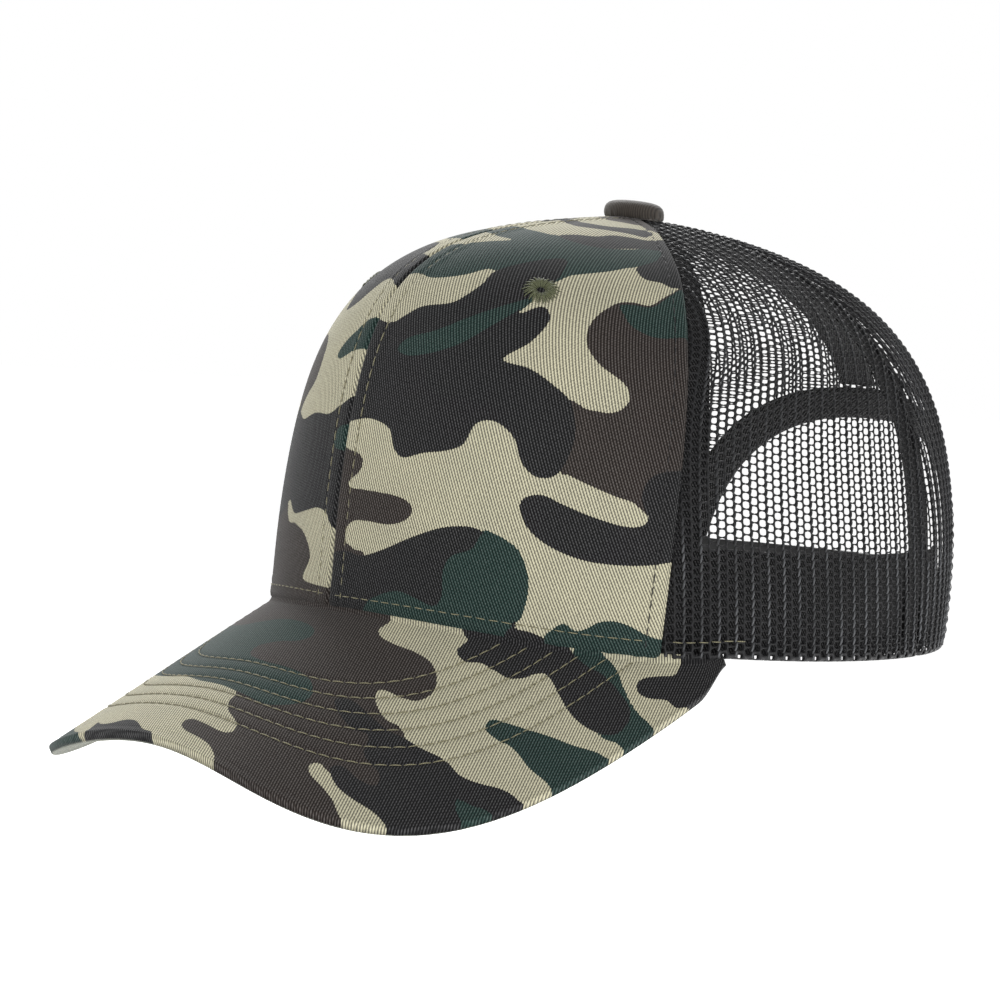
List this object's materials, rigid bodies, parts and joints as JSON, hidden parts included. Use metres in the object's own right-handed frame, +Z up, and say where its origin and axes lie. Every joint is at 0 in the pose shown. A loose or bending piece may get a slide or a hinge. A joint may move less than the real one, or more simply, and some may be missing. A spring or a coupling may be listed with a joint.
{
  "type": "trucker cap",
  "caption": "Structured cap with firm printed front panels, open-knit mesh sides and back, a curved visor, a covered top button and an adjustable snap strap.",
  "frame": {"origin": "centre of the head opening, in the plane of the crown's lower edge at the sides and back", "axes": "+X to the wearer's left, -Y forward along the visor, +Z up through the button"},
  "size_m": [0.168, 0.248, 0.1555],
  "materials": {
    "camo_twill": "printed cotton twill in a four-colour camouflage",
    "knit_mesh": "open polyester warp-knit net, slightly shiny",
    "buckram": "stiffened open-weave cotton, matte",
    "black_twill": "plain black cotton twill, matte",
    "felt_filler": "non-woven polyester, matte",
    "visor_plastic": "moulded sheet, matte",
    "under_twill": "plain cotton twill, matte",
    "olive_thread": "polyester embroidery thread, satin",
    "button_cloth": "ribbed cotton, matte",
    "steel": "pressed sheet, dull",
    "strap_plastic": "moulded soft plastic, satin"
  },
  "bodies": {
    "crown": {"front_panel_left": "camo_twill", "front_panel_right": "camo_twill", "side_mesh_left": "knit_mesh", "side_mesh_right": "knit_mesh", "rear_mesh_left": "knit_mesh", "rear_mesh_right": "knit_mesh", "front_buckram_left": "buckram", "front_buckram_right": "buckram", "front_centre_tape": "black_twill", "front_side_tape_left": "black_twill", "front_side_tape_right": "black_twill", "rear_side_tape_left": "black_twill", "rear_side_tape_right": "black_twill", "rear_centre_tape": "black_twill", "rear_opening_binding": "black_twill", "sweatband": "black_twill", "sweatband_filler": "felt_filler", "visor_top_cover": "camo_twill", "visor_board": "visor_plastic", "visor_under_cover": "under_twill", "eyelet_left": "olive_thread", "eyelet_right": "olive_thread", "button_cover": "button_cloth", "button_shell": "steel", "button_rivet": "steel", "hole_strap_tab": "strap_plastic", "peg_strap_tab": "strap_plastic"},
    "hole_strap_half": {"hole_strap": "strap_plastic"},
    "peg_strap_half": {"peg_strap": "strap_plastic"}
  },
  "joints": [
    {"name": "hole_strap_flex", "type": "hinge", "parent": "crown", "child": "hole_strap_half", "pos_m": [0.04117, 0.08312, 0.0115], "axis": [0, 0, -1], "range_deg": [0, 70], "stiffness_Nm_per_rad": 0.01},
    {"name": "peg_strap_flex", "type": "hinge", "parent": "crown", "child": "peg_strap_half", "pos_m": [-0.04032, 0.08195, 0.0115], "axis": [0, 0, -1], "range_deg": [0, 30], "stiffness_Nm_per_rad": 0.01}
  ]
}
